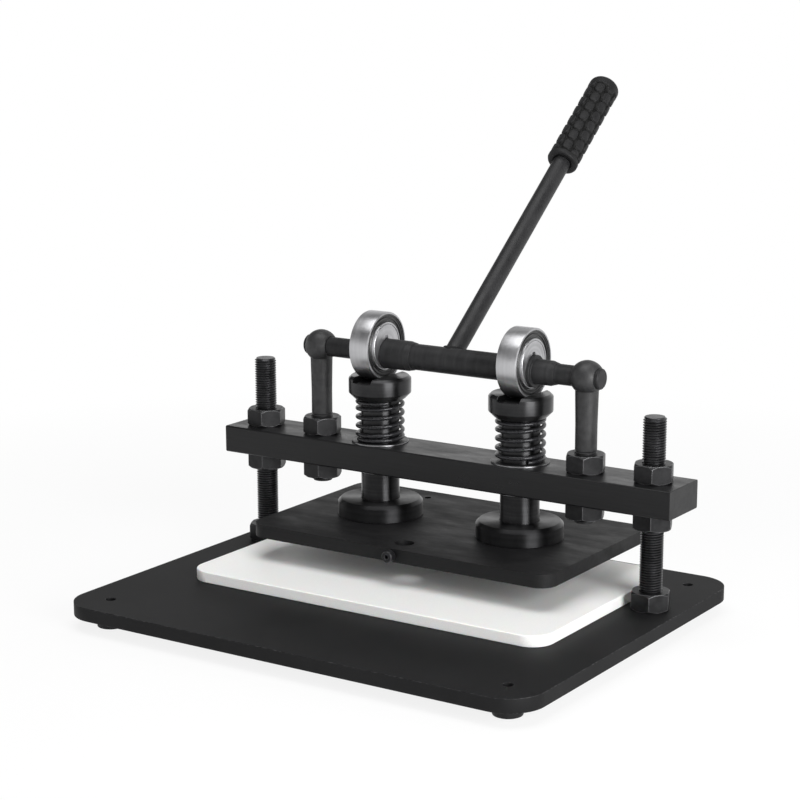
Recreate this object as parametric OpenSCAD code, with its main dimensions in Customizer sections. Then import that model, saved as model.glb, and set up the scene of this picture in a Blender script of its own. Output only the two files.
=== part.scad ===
// Hand lever press for embossing and die-cutting leather. Units are millimetres.
// The origin is the middle of the four bench holes at the feet. X runs along the beam,
// Y points to the back and Z points up.
//
// A cam shaft hangs in two eye bolts over the beam. Its two eccentrics carry ball bearings
// that roll on the caps of two posts, which slide in the beam and carry the press plate.
// Springs round the posts lift the plate again.

/* [Base] */
// length of the base plate along X
base_l = 465; // [430:1:500]
// width of the base plate along Y
base_w = 376; // [350:1:400]
// thickness of the base plate
base_t = 12; // [10:0.5:16]
// corner radius of the base plate
base_corner_r = 32; // [20:1:36]
// distance from the base's back edge to the column axis
column_back = 112; // [100:1:120]
// distance of the bench holes from the edges
bench_inset = 32; // [26:1:38]
// diameter of the bench holes
bench_hole_d = 9; // [7:0.5:11]
// diameter of a rubber foot
foot_d = 27; // [22:1:34]
// height of a rubber foot
foot_h = 12; // [8:0.5:16]
// taper of a foot towards the bench, on the radius
foot_taper = 1.5; // [0.5:0.5:3]

/* [Cutting board] */
// distance from the board's ends to the column axes
board_end_gap = 22; // [21:0.5:34]
// width of the cutting board along Y
board_w = 230; // [200:1:240]
// thickness of the cutting board
board_t = 10; // [6:0.5:12]
// corner radius of the cutting board
board_corner_r = 20; // [10:1:30]
// distance from the board's middle forward of the column axis
board_forward = 34; // [28:1:40]

/* [Columns and nuts] */
// distance of the two threaded columns from the base's ends
column_inset = 28.5; // [26:0.5:32]
// diameter of the columns and of the eye bolts' thread
stud_d = 20; // [18:0.5:22]
// middle height of the columns' ends over the base plate
stud_rise = 172; // [166:1:185]
// how much higher than that the left column ends, and how much lower the right one
stud_uneven = 4; // [0:0.5:8]
// chamfer on the ends of the threaded rods
stud_chamfer = 1.5; // [0.5:0.5:2.5]
// width of a nut across its flats
nut_af = 32; // [30:0.5:33]
// height of a nut
nut_h = 16; // [12:0.5:18]
// angle by which the nuts stand turned on their threads
nut_turn = -8; // [-30:1:30]
// running clearance of nuts and beam on a threaded rod, on the radius
thread_clear = 0.05; // [0.02:0.01:0.1]

/* [Beam] */
// how far the beam stands past the base's ends
beam_over = 0; // [-6:0.5:6]
// depth of the beam along Y
beam_w = 53; // [50:1:60]
// thickness of the beam
beam_t = 25; // [20:1:30]
// chamfer on the beam's long edges
beam_chamfer = 1; // [0.5:0.5:2]
// height of the beam's underside over the base plate
beam_gap = 87; // [84:1:100]

/* [Eye bolts] */
// distance from a column to its eye bolt
eye_inset = 65; // [62:0.5:68]
// how much thinner an eye bolt's plain shank is than its thread
shank_cut = 0.9; // [0.6:0.1:2]
// radius of the ball-shaped eye
eye_r = 15; // [14.5:0.5:17]
// width of the eye between its flats
eye_w = 22; // [21:0.5:23.5]
// length over which the shank widens towards the eye
neck_h = 30; // [10:1:40]
// diameter of the shank where it meets the eye
neck_d = 20.4; // [19.6:0.2:22]
// length of thread over the upper nut
thread_over = 4; // [2:0.5:10]
// length of bolt under the lower nut
thread_under = 4; // [2:0.5:8]

/* [Cam shaft] */
// height of the shaft's axis over the beam
shaft_rise = 82; // [80:1:90]
// diameter of the shaft between the journals
shaft_d = 23.5; // [22:0.5:24.5]
// diameter of the journals in the eyes
journal_d = 18; // [16:0.5:19]
// running clearance of a journal in its eye, on the radius
journal_clear = 0.05; // [0.02:0.01:0.1]
// length of shaft outside each eye
shaft_over = 3.6; // [2:0.2:5]
// distance between the middles of the two cams
cam_pitch = 153; // [150:0.5:155]
// eccentricity of the cams
cam_offset = 6.5; // [5:0.25:7]
// width of the cams' keys
key_w = 5; // [4:0.5:6]
// height of the cams' keys
key_h = 8; // [7:0.5:9]
// depth of a key in the shaft
key_depth = 3; // [2.5:0.5:4]
// outer diameter of the left collar
collar_left_d = 27; // [25.5:0.5:29]
// length of the left collar with its taper
collar_left_l = 31; // [20:1:34]
// outer diameter of the right collar
collar_right_d = 22; // [20.5:0.5:24]
// length of the right collar with its taper
collar_right_l = 24; // [18:1:28]
// diameter of the right collar's flange
collar_flange_d = 28.5; // [26:0.5:30]
// thickness of the right collar's flange
collar_flange_t = 3; // [2:0.5:5]
// length of the collars' tapers
collar_taper = 5; // [3:0.5:8]

/* [Bearings] */
// outer diameter of a bearing
bearing_od = 62; // [60:0.5:64]
// bore of a bearing
bearing_bore = 40; // [39:0.5:41]
// width of a bearing
bearing_w = 20; // [16:0.5:22]
// thickness of a bearing ring at its shoulder
ring_t = 2; // [1.8:0.1:2.2]
// diameter of a ball
ball_d = 8; // [7.6:0.1:8.4]
// number of balls in a bearing
ball_count = 14; // [10:1:15]
// clearance of a ball in its grooves and pocket
ball_clear = 0.15; // [0.1:0.05:0.2]
// thickness of the ball cage, on the radius
cage_t = 2.4; // [2:0.1:3]
// width of the ball cage
cage_w = 10; // [9.6:0.2:11]
// thickness of a bearing seal
seal_t = 1.2; // [1:0.1:1.6]
// depth of a seal behind the bearing's face
seal_inset = 0.8; // [0.4:0.1:1.2]
// gap between a seal's lip and the inner ring
seal_clear = 0.2; // [0.15:0.05:0.4]
// chamfer on the rings' corners
ring_chamfer = 0.8; // [0.4:0.1:1]

/* [Lever] */
// distance of the lever from the middle of the machine
lever_x = 0; // [-10:1:10]
// length of the lever from the shaft's axis to its end
lever_l = 363; // [340:1:390]
// angle by which the lever leans back from upright
lever_lean = 51.5; // [45:0.5:57]
// diameter of the lever rod
lever_d = 17; // [15:0.5:19]
// diameter of the lever's spigot in the shaft
spigot_d = 11; // [9:0.5:12]
// depth of the spigot past the shaft's axis
spigot_depth = 8; // [5:0.5:9]
// width of the weld bead round the lever's foot
weld_w = 2.5; // [1.5:0.5:4]
// diameter of the grip
grip_d = 30; // [27:0.5:33]
// length of the grip
grip_l = 109; // [95:1:120]
// thickness of the grip's closed end
grip_end_t = 8; // [6:0.5:12]
// radius of the grip's rounded end
grip_round_r = 6; // [3:0.5:8]

/* [Posts and springs] */
// distance between the two press posts
post_pitch = 148; // [145:0.5:150]
// diameter of a press post
post_d = 35; // [32:0.5:36]
// running clearance of a post in its guide bush, on the radius
post_clear = 0.05; // [0.02:0.01:0.1]
// diameter of a post cap
cap_d = 57; // [55:0.5:60]
// height of a post cap
cap_h = 21; // [18:0.5:23]
// chamfer on a post cap's upper edge
cap_edge = 2.5; // [1:0.5:3]
// chamfer under a post cap
cap_chamfer = 5.5; // [3:0.5:6]
// depth of the bearing's slot in a cap
slot_depth = 4.3; // [3:0.1:6]
// clearance of the bearing in the slot, on each side
slot_clear = 0.5; // [0.3:0.1:1]
// gap between the bearing and the floor of the slot
roll_clear = 0.3; // [0.2:0.05:0.4]
// diameter of a post's spigot in its cap
post_spigot_d = 22; // [18:1:26]
// height of a post's spigot
post_spigot_h = 12; // [8:1:13]
// outer diameter of a guide bush's flange
bush_flange_d = 52; // [50:0.5:54]
// thickness of that flange, which the spring sits on
bush_flange_t = 1.5; // [1.3:0.1:2.5]
// outer diameter of a guide bush
bush_d = 43; // [41:0.5:45]
// length of a guide bush under the beam
bush_under = 2; // [1:0.5:3]
// diameter of the springs' wire
wire_d = 3.8; // [3.2:0.1:4]
// outer diameter of a spring
spring_od = 45; // [44:0.5:47]
// number of turns of a spring
spring_turns = 5.25; // [4.75:0.25:5.75]
// how much faster than its own wire's height an end turn climbs
end_turn_gap = 0.5; // [0.4:0.1:0.8]
// clearance between a spring's ends and their seats
seat_clear = 0.2; // [0.1:0.05:0.3]

/* [Press plate] */
// length of the press plate along X
plate_l = 311; // [290:1:330]
// width of the press plate along Y
plate_w = 186; // [176:1:200]
// thickness of the press plate
plate_t = 12; // [10:0.5:16]
// corner radius of the press plate
plate_corner_r = 16; // [8:1:24]
// gap between the press plate and the cutting board
die_gap = 21.5; // [20.5:0.5:26]
// diameter of the flange on a post's foot
flange_d = 78; // [74:1:84]
// thickness of that flange
flange_t = 16; // [12:0.5:18]
// chamfer on the flange's upper edge
flange_chamfer = 3; // [1.5:0.5:4]
// depth to which the post sits in the flange
flange_seat = 11; // [8:0.5:12]
// circle of the screws under a flange
screw_circle_d = 57; // [54:0.5:60]
// thread diameter of the flange screws
screw_d = 6; // [5:0.5:6.5]
// head diameter of the flange screws
screw_head_d = 11; // [10:0.5:12]
// length of the flange screws
screw_l = 22; // [18:0.5:24]
// diameter of the tool socket
socket_d = 17; // [14:0.5:20]
// distance of the tool socket from the plate's front edge
socket_inset = 21; // [18:0.5:26]
// diameter of the pin hole at the plate's back
pin_hole_d = 6.5; // [5:0.5:8]
// distance of the pin hole left of the middle
pin_hole_x = 68; // [60:1:76]
// distance of the pin hole from the plate's back edge
pin_hole_inset = 22; // [16:0.5:28]
// thread diameter of the tool's clamp screw
clamp_d = 6; // [5:0.5:8]
// head diameter of the clamp screw
clamp_head_d = 10.5; // [9:0.5:11.5]
// head height of the clamp screw
clamp_head_h = 7; // [5:0.5:8]
// gap under the clamp screw's head
clamp_gap = 1; // [0.5:0.5:2]
// hexagon key width of the clamp screw and of the flange screws
hex_key = 4; // [3:0.5:5]

/* [Hidden] */
// one overrun serves all cuts
over = 1;
// chamfer on small turned and moulded edges
small_chamfer = 0.6;
// share of the nut's width across corners that its chamfer leaves round
nut_face_share = 0.87;
// share of the clamp screw's head that its hexagon socket takes
hex_depth_share = 0.6;
round_fn = 96;
ball_fn = 40;
spring_rings = 8;
spring_sides = 6;
// turns at a spring's foot and at its head that climb slowly
low_turns = 1.1;
high_turns = 0.8;
// directions round the post in which the two springs' wires start
coil_start_left = 233;
coil_start_right = 319;

column_y = base_w / 2 - column_back;
column_pitch = base_l - 2 * column_inset;
eye_pitch = column_pitch - 2 * eye_inset;
beam_l = base_l + 2 * beam_over;
board_l = column_pitch - 2 * board_end_gap;
shank_d = stud_d - shank_cut;
base_z = foot_h;
base_top = base_z + base_t;
board_top = base_top + board_t;
board_y = column_y - board_forward;
beam_z = base_top + beam_gap;
beam_top = beam_z + beam_t;
shaft_z = beam_top + shaft_rise;
cam_z = shaft_z + cam_offset;
slot_floor = cam_z - bearing_od / 2 - roll_clear;
cap_top = slot_floor + slot_depth;
cap_z = cap_top - cap_h;
plate_z = board_top + die_gap;
plate_top = plate_z + plate_t;
flange_top = plate_top + flange_t;
post_z = flange_top - flange_seat;
bush_top = beam_top + bush_flange_t;
plate_front = column_y - plate_w / 2;
plate_back = column_y + plate_w / 2;
socket_y = plate_front + socket_inset;

// shaft stations along X
cam_left_x = -cam_pitch / 2;
cam_right_x = cam_pitch / 2;
thick_half = cam_right_x + bearing_w / 2;
shaft_half = eye_pitch / 2 + eye_w / 2 + shaft_over;

// bearing radii
bore_r = bearing_bore / 2;
outer_r = bearing_od / 2;
inner_shoulder_r = bore_r + ring_t;
outer_shoulder_r = outer_r - ring_t;
pitch_r = (inner_shoulder_r + outer_shoulder_r) / 2;

lever_foot = lever_l - grip_l;
screw_head_h = (screw_head_d - screw_d) / 2;

/* Helpers */

// a flat plate with round corners, centred on its place
module round_plate(l, w, t, r) {
  linear_extrude(t) {
    square([l - 2 * r, w], center = true);
    square([l, w - 2 * r], center = true);
    for (sx = [-1, 1], sy = [-1, 1])
      translate([sx * (l / 2 - r), sy * (w / 2 - r)]) circle(r, $fn = round_fn);
  }
}

// an upright drill of the given diameter
module drill(d, h) {
  translate([0, 0, -over]) cylinder(d = d, h = h + 2 * over, $fn = round_fn);
}

// turns an upright solid to lie along X
module along_x() {
  rotate([0, 90, 0]) children();
}

// a washer-like ring along X, chamfered on the edges that the flags name
module ring_x(r_in, r_out, w, c_in, c_out) {
  along_x() rotate_extrude($fn = round_fn)
    polygon([[r_in + c_in, -w / 2], [r_out - c_out, -w / 2], [r_out, -w / 2 + c_out],
             [r_out, w / 2 - c_out], [r_out - c_out, w / 2], [r_in + c_in, w / 2],
             [r_in, w / 2 - c_in], [r_in, -w / 2 + c_in]]);
}

// a round bar standing on the origin, chamfered at both ends
module chamfered_bar(d, h, c) {
  rotate_extrude($fn = round_fn)
    polygon([[0, 0], [d / 2 - c, 0], [d / 2, c], [d / 2, h - c], [d / 2 - c, h], [0, h]]);
}

// a hexagon nut standing on the origin, with the chamfer of a turned nut on both faces
module hex_nut(af, h, bore) {
  corner_r = af / sqrt(3);
  face_r = corner_r * nut_face_share;
  drop = (corner_r - face_r) * tan(30) + small_chamfer;
  difference() {
    intersection() {
      cylinder(r = corner_r, h = h, $fn = 6);
      rotate_extrude($fn = round_fn)
        polygon([[0, 0], [face_r, 0], [corner_r, drop], [corner_r, h - drop], [face_r, h], [0, h]]);
    }
    drill(bore, h);
  }
}

module stud_nut() {
  rotate([0, 0, nut_turn]) hex_nut(nut_af, nut_h, stud_d + 2 * thread_clear);
}

module at_columns() {
  for (s = [-1, 1]) translate([s * column_pitch / 2, column_y, 0]) children();
}

module at_eye_bolts() {
  for (s = [-1, 1]) translate([s * eye_pitch / 2, column_y, 0]) children();
}

module at_posts() {
  for (s = [-1, 1]) translate([s * post_pitch / 2, column_y, 0]) children();
}

module at_bench_holes() {
  for (sx = [-1, 1], sy = [-1, 1])
    translate([sx * (base_l / 2 - bench_inset), sy * (base_w / 2 - bench_inset), 0]) children();
}

module at_flange_screws() {
  for (a = [45:90:315]) rotate([0, 0, a]) translate([screw_circle_d / 2, 0, 0]) children();
}

/* Base */

module base_plate() {
  color("#2b2b2d") difference() {
    translate([0, 0, base_z]) round_plate(base_l, base_w, base_t, base_corner_r);
    at_bench_holes() translate([0, 0, base_z]) drill(bench_hole_d, base_t);
    at_columns() translate([0, 0, base_z]) drill(stud_d + 2 * thread_clear, base_t);
  }
}

module rubber_feet() {
  color("#1c1c1c") at_bench_holes() difference() {
    rotate_extrude($fn = round_fn)
      polygon([[0, 0], [foot_d / 2 - foot_taper - small_chamfer, 0],
               [foot_d / 2 - foot_taper, small_chamfer], [foot_d / 2, foot_h], [0, foot_h]]);
    drill(bench_hole_d, foot_h);
  }
}

module cutting_board() {
  color("#f4f4f0") translate([0, board_y, base_top])
    round_plate(board_l, board_w, board_t, board_corner_r);
}

module column(s) {
  color("#3a3a3c") translate([s * column_pitch / 2, column_y, base_z])
    chamfered_bar(stud_d, stud_rise - s * stud_uneven + base_t, stud_chamfer);
}

module column_left() { column(-1); }
module column_right() { column(1); }

module base_nuts() {
  color("#303032") at_columns() translate([0, 0, base_top]) stud_nut();
}

/* Beam and what is bolted to it */

module beam() {
  h = beam_t / 2;
  w = beam_w / 2;
  c = beam_chamfer;
  color("#2a2a2c") difference() {
    translate([-beam_l / 2, column_y, beam_z + h]) along_x() linear_extrude(beam_l)
      polygon([[-h + c, -w], [h - c, -w], [h, -w + c], [h, w - c], [h - c, w], [-h + c, w],
               [-h, w - c], [-h, -w + c]]);
    at_columns() translate([0, 0, beam_z]) drill(stud_d + 2 * thread_clear, beam_t);
    at_eye_bolts() translate([0, 0, beam_z]) drill(stud_d + 2 * thread_clear, beam_t);
    at_posts() translate([0, 0, beam_z]) drill(bush_d, beam_t);
  }
}

module column_nuts() {
  color("#303032") at_columns() for (z = [beam_z - nut_h, beam_top]) translate([0, 0, z]) stud_nut();
}

// flanged bush, pressed into the beam from above, with its rim showing underneath
module guide_bush(s) {
  h = bush_flange_t + beam_t + bush_under;
  flange_z = h - bush_flange_t;
  color("#8d8d90") translate([s * post_pitch / 2, column_y, beam_z - bush_under]) difference() {
    rotate_extrude($fn = round_fn)
      polygon([[0, 0], [bush_d / 2 - small_chamfer, 0], [bush_d / 2, small_chamfer],
               [bush_d / 2, flange_z], [bush_flange_d / 2, flange_z],
               [bush_flange_d / 2, h - small_chamfer], [bush_flange_d / 2 - small_chamfer, h],
               [0, h]]);
    drill(post_d + 2 * post_clear, h);
  }
}

module guide_bush_left() { guide_bush(-1); }
module guide_bush_right() { guide_bush(1); }

// forged eye bolt: threaded foot, plain shank that widens upward and a ball with two flats
module eye_bolt(s) {
  foot_z = beam_z - nut_h - thread_under;
  shank_z = beam_top + nut_h + thread_over;
  // the neck ends inside the ball, under its bore
  neck_top = shaft_z - sqrt(eye_r * eye_r - neck_d * neck_d / 4) + small_chamfer;
  color("#39393b") translate([s * eye_pitch / 2, column_y, 0]) difference() {
    union() {
      translate([0, 0, foot_z]) chamfered_bar(stud_d, shank_z - foot_z, stud_chamfer);
      translate([0, 0, shank_z - stud_chamfer])
        cylinder(d = shank_d, h = neck_top - neck_h - shank_z + stud_chamfer, $fn = round_fn);
      translate([0, 0, neck_top - neck_h])
        cylinder(d1 = shank_d, d2 = neck_d, h = neck_h, $fn = round_fn);
      intersection() {
        translate([0, 0, shaft_z]) sphere(eye_r, $fn = round_fn);
        translate([-eye_w / 2, -eye_r - over, shaft_z - eye_r - over])
          cube([eye_w, 2 * (eye_r + over), 2 * (eye_r + over)]);
      }
    }
    translate([-eye_w / 2 - over, 0, shaft_z]) along_x()
      cylinder(d = journal_d + 2 * journal_clear, h = eye_w + 2 * over, $fn = round_fn);
  }
}

module eye_bolt_left() { eye_bolt(-1); }
module eye_bolt_right() { eye_bolt(1); }

module eye_bolt_nuts() {
  color("#303032") at_eye_bolts() for (z = [beam_z - nut_h, beam_top]) translate([0, 0, z]) stud_nut();
}

/* Cam shaft */

// a key on top of the shaft, standing partly in it and partly in the cam; before and after
// lengthen it where it is used as a cut
module key_bar(x, before, after) {
  translate([x - bearing_w / 2 - before, column_y - key_w / 2, shaft_z + shaft_d / 2 - key_depth])
    cube([before + bearing_w + after, key_w, key_h]);
}

// places the lever's own frame: Z runs from the shaft's axis along the lever
module at_lever() {
  translate([lever_x, column_y, shaft_z]) rotate([-lever_lean, 0, 0]) children();
}

// the shaft is thick from one cam's outer face to the other's and thinner in the eyes
module cam_shaft() {
  j = journal_d / 2;
  r = shaft_d / 2;
  c = small_chamfer;
  color("#2e2e30") difference() {
    translate([0, column_y, shaft_z]) along_x() rotate_extrude($fn = round_fn)
      polygon([[0, -shaft_half], [j - c, -shaft_half], [j, -shaft_half + c], [j, -thick_half],
               [r, -thick_half], [r, thick_half], [j, thick_half], [j, shaft_half - c],
               [j - c, shaft_half], [0, shaft_half]]);
    key_bar(cam_left_x, over, 0);
    key_bar(cam_right_x, 0, over);
    at_lever() translate([0, 0, -spigot_depth])
      cylinder(d = spigot_d, h = spigot_depth + shaft_d, $fn = round_fn);
  }
}

module cam(x) {
  color("#b9b9bb") difference() {
    translate([x - bearing_w / 2, column_y, cam_z]) along_x()
      chamfered_bar(bearing_bore, bearing_w, small_chamfer);
    translate([x - bearing_w / 2, column_y, shaft_z]) along_x() drill(shaft_d, bearing_w);
    key_bar(x, over, over);
  }
}

module cam_left() { cam(cam_left_x); }
module cam_right() { cam(cam_right_x); }
module cam_key_left() { color("#9a9a9c") key_bar(cam_left_x, 0, 0); }
module cam_key_right() { color("#9a9a9c") key_bar(cam_right_x, 0, 0); }

// sleeve on the thick part of the shaft, against the inner face of the left cam
module collar_left() {
  r = collar_left_d / 2;
  straight = collar_left_l - collar_taper;
  color("#2e2e30") translate([cam_left_x + bearing_w / 2, column_y, shaft_z]) along_x()
    rotate_extrude($fn = round_fn)
      polygon([[shaft_d / 2, 0], [r, 0], [r, straight], [shaft_d / 2 + small_chamfer, collar_left_l],
               [shaft_d / 2, collar_left_l]]);
}

// flanged sleeve on the right journal, against the outer face of the right cam
module collar_right() {
  r = collar_right_d / 2;
  straight = collar_right_l - collar_taper;
  color("#2e2e30") translate([thick_half, column_y, shaft_z]) along_x() rotate_extrude($fn = round_fn)
    polygon([[journal_d / 2, 0], [collar_flange_d / 2, 0], [collar_flange_d / 2, collar_flange_t],
             [r, collar_flange_t], [r, straight], [journal_d / 2 + small_chamfer, collar_right_l],
             [journal_d / 2, collar_right_l]]);
}

/* Ball bearings on the cams */

// the ring of room that the balls run in
module ball_track(x) {
  translate([x, column_y, cam_z]) along_x() rotate_extrude($fn = round_fn)
    translate([pitch_r, 0]) circle(d = ball_d + 2 * ball_clear, $fn = ball_fn);
}

module inner_ring(x) {
  color("#c4c4c6") difference() {
    translate([x, column_y, cam_z])
      ring_x(bore_r, inner_shoulder_r, bearing_w, small_chamfer, small_chamfer);
    ball_track(x);
  }
}

module outer_ring(x) {
  color("#c8c8ca") difference() {
    translate([x, column_y, cam_z])
      ring_x(outer_shoulder_r, outer_r, bearing_w, small_chamfer, ring_chamfer);
    ball_track(x);
  }
}

module at_balls(x) {
  translate([x, column_y, cam_z]) for (i = [0:ball_count - 1])
    rotate([i * 360 / ball_count, 0, 0]) translate([0, 0, pitch_r]) children();
}

module bearing_balls(x) {
  color("#d0d0d2") at_balls(x) sphere(d = ball_d, $fn = ball_fn);
}

module ball_cage(x) {
  color("#b08d4a") difference() {
    translate([x, column_y, cam_z])
      ring_x(pitch_r - cage_t / 2, pitch_r + cage_t / 2, cage_w, 0, 0);
    at_balls(x) cylinder(d = ball_d + 2 * ball_clear, h = 2 * cage_t, center = true, $fn = ball_fn);
  }
}

module bearing_seals(x) {
  color("#1e1e20") for (s = [-1, 1])
    translate([x + s * (bearing_w / 2 - seal_inset - seal_t / 2), column_y, cam_z])
      ring_x(inner_shoulder_r + seal_clear, outer_shoulder_r, seal_t, 0, 0);
}

module inner_ring_left() { inner_ring(cam_left_x); }
module inner_ring_right() { inner_ring(cam_right_x); }
module outer_ring_left() { outer_ring(cam_left_x); }
module outer_ring_right() { outer_ring(cam_right_x); }
module bearing_balls_left() { bearing_balls(cam_left_x); }
module bearing_balls_right() { bearing_balls(cam_right_x); }
module ball_cage_left() { ball_cage(cam_left_x); }
module ball_cage_right() { ball_cage(cam_right_x); }
module bearing_seals_left() { bearing_seals(cam_left_x); }
module bearing_seals_right() { bearing_seals(cam_right_x); }

/* Lever */

// the round of the shaft, which the lever's foot is fitted to
module shaft_round() {
  translate([lever_x - lever_d, column_y, shaft_z]) along_x()
    cylinder(d = shaft_d, h = 2 * lever_d, $fn = round_fn);
}

module lever_rod() {
  color("#3c3c3e") union() {
    at_lever() translate([0, 0, -spigot_depth])
      cylinder(d = spigot_d, h = spigot_depth + shaft_d, $fn = round_fn);
    difference() {
      at_lever() cylinder(d = lever_d, h = lever_l - grip_end_t, $fn = round_fn);
      shaft_round();
    }
  }
}

// the weld bead round the rod's foot
module lever_weld() {
  color("#353537") difference() {
    at_lever() cylinder(d1 = lever_d + 2 * weld_w, d2 = lever_d + small_chamfer,
                        h = shaft_d / 2 + weld_w, $fn = round_fn);
    shaft_round();
    at_lever() cylinder(d = lever_d, h = shaft_d, $fn = round_fn);
  }
}

module lever_grip() {
  r = grip_d / 2;
  c = small_chamfer;
  color("#262628") at_lever() translate([0, 0, lever_foot]) difference() {
    rotate_extrude($fn = round_fn) {
      polygon([[0, 0], [r - c, 0], [r, c], [r, grip_l - grip_round_r], [0, grip_l - grip_round_r]]);
      translate([0, grip_l - grip_round_r]) square([r - grip_round_r, grip_round_r]);
      intersection() {
        translate([r - grip_round_r, grip_l - grip_round_r]) circle(grip_round_r, $fn = round_fn);
        translate([r - grip_round_r, grip_l - grip_round_r]) square(grip_round_r);
      }
    }
    translate([0, 0, -over]) cylinder(d = lever_d, h = grip_l - grip_end_t + over, $fn = round_fn);
  }
}

/* Press plate, posts, caps and springs */

module post(s) {
  color("#6e6e72") translate([s * post_pitch / 2, column_y, 0]) {
    translate([0, 0, post_z]) cylinder(d = post_d, h = cap_z - post_z, $fn = round_fn);
    translate([0, 0, cap_z]) cylinder(d = post_spigot_d, h = post_spigot_h, $fn = round_fn);
  }
}

module post_left() { post(-1); }
module post_right() { post(1); }

// turned cap with a slot across it, in which the bearing rolls; the cams stand a little wider
// apart than the posts
module post_cap(s) {
  r = cap_d / 2;
  slot_w = bearing_w + 2 * slot_clear;
  slot_x = s * (cam_pitch - post_pitch) / 2;
  color("#2c2c2e") translate([s * post_pitch / 2, column_y, cap_z]) difference() {
    rotate_extrude($fn = round_fn)
      polygon([[0, 0], [r - cap_chamfer, 0], [r, cap_chamfer], [r, cap_h - cap_edge],
               [r - cap_edge, cap_h], [0, cap_h]]);
    translate([slot_x - slot_w / 2, -r - over, cap_h - slot_depth])
      cube([slot_w, 2 * (r + over), slot_depth + over]);
    translate([0, 0, -over]) cylinder(d = post_spigot_d, h = post_spigot_h + over, $fn = round_fn);
  }
}

module post_cap_left() { post_cap(-1); }
module post_cap_right() { post_cap(1); }

module post_flange(s) {
  r = flange_d / 2;
  color("#2b2b2d") translate([s * post_pitch / 2, column_y, plate_top]) difference() {
    rotate_extrude($fn = round_fn)
      polygon([[0, 0], [r, 0], [r, flange_t - flange_chamfer], [r - flange_chamfer, flange_t],
               [0, flange_t]]);
    translate([0, 0, flange_t - flange_seat]) cylinder(d = post_d, h = flange_seat + over, $fn = round_fn);
    at_flange_screws() translate([0, 0, -over])
      cylinder(d = screw_d, h = screw_l - plate_t + over, $fn = round_fn);
  }
}

module post_flange_left() { post_flange(-1); }
module post_flange_right() { post_flange(1); }

// a countersunk screw pointing up from the origin
module countersunk() {
  rotate_extrude($fn = round_fn)
    polygon([[0, 0], [screw_head_d / 2, 0], [screw_d / 2, screw_head_h], [screw_d / 2, screw_l],
             [0, screw_l]]);
}

// the hexagon socket in a screw's head, pointing up from the head's face
module hex_socket(depth) {
  translate([0, 0, -over]) cylinder(d = hex_key * 2 / sqrt(3), h = depth + over, $fn = 6);
}

module press_plate() {
  color("#2d2d2f") difference() {
    translate([0, column_y, plate_z]) round_plate(plate_l, plate_w, plate_t, plate_corner_r);
    translate([0, socket_y, plate_z]) drill(socket_d, plate_t);
    translate([-pin_hole_x, plate_back - pin_hole_inset, plate_z]) drill(pin_hole_d, plate_t);
    translate([0, plate_front - over, plate_z + plate_t / 2]) rotate([-90, 0, 0])
      cylinder(d = clamp_d + 2 * thread_clear, h = socket_inset + over, $fn = round_fn);
    at_posts() at_flange_screws() translate([0, 0, plate_z]) {
      countersunk();
      translate([0, 0, -over]) cylinder(d = screw_head_d, h = over, $fn = round_fn);
      cylinder(d = screw_d, h = plate_t + over, $fn = round_fn);
    }
  }
}

module flange_screws() {
  color("#303032") at_posts() at_flange_screws() translate([0, 0, plate_z]) difference() {
    countersunk();
    hex_socket(screw_head_h);
  }
}

// socket-head screw that holds a punch in the tool socket; its tip ends short of the socket
module clamp_screw() {
  reach = socket_inset - socket_d / 2;
  color("#303032") translate([0, plate_front - clamp_gap, plate_z + plate_t / 2]) rotate([-90, 0, 0])
    difference() {
      union() {
        translate([0, 0, -clamp_head_h]) chamfered_bar(clamp_head_d, clamp_head_h, small_chamfer);
        translate([0, 0, -small_chamfer]) cylinder(d = clamp_d, h = reach + small_chamfer, $fn = round_fn);
      }
      translate([0, 0, -clamp_head_h]) hex_socket(clamp_head_h * hex_depth_share);
    }
}

/* Springs: one unbroken tube each, wound round the post with slower end turns */

wire_r = wire_d / 2;
// the corners of the wound tube stand out as far as its straight pieces cut in
coil_r = (spring_od / 2 - wire_r) * 2 / (1 + cos(180 / spring_rings));
// the flat sides of the tube face the seats
half_height = wire_r * cos(180 / spring_sides);
coil_low = bush_top + seat_clear + half_height;
coil_high = cap_z - seat_clear - half_height;
end_slope = wire_d + end_turn_gap;
low_end = coil_low + end_slope * low_turns;
high_start = coil_high - end_slope * high_turns;
coil_steps = spring_turns * spring_rings;

// height of the wire's centre at turn t: a slow climb over the end turns, a steeper one between
function coil_z(t) =
  t < low_turns ? coil_low + end_slope * t :
  t > spring_turns - high_turns ? coil_high - end_slope * (spring_turns - t) :
  low_end + (high_start - low_end) * (t - low_turns) / (spring_turns - low_turns - high_turns);

function coil_point(i, k) =
  let(t = i / spring_rings, a = 360 * t, b = 360 * (k + 0.5) / spring_sides + 90,
      r = coil_r + wire_r * cos(b))
  [r * cos(a), r * sin(a), coil_z(t) + wire_r * sin(b)];

coil_points = [for (i = [0:coil_steps], k = [0:spring_sides - 1]) coil_point(i, k)];
last_ring = coil_steps * spring_sides;
coil_faces = concat(
  [for (k = [1:spring_sides - 2]) [0, k, k + 1]],
  [for (k = [1:spring_sides - 2]) [last_ring, last_ring + k + 1, last_ring + k]],
  [for (i = [0:coil_steps - 1], k = [0:spring_sides - 1])
    let(a = i * spring_sides + k, b = i * spring_sides + (k + 1) % spring_sides)
    [a, a + spring_sides, b]],
  [for (i = [0:coil_steps - 1], k = [0:spring_sides - 1])
    let(a = i * spring_sides + k, b = i * spring_sides + (k + 1) % spring_sides)
    [b, a + spring_sides, b + spring_sides]]);

coil_gap = min([for (i = [0:coil_steps], j = [i + spring_rings / 2:coil_steps],
                     k = [0:spring_sides - 1], m = [0:spring_sides - 1])
                norm(coil_point(i, k) - coil_point(j, m))]);
echo(least_gap_between_spring_turns = coil_gap);

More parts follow.
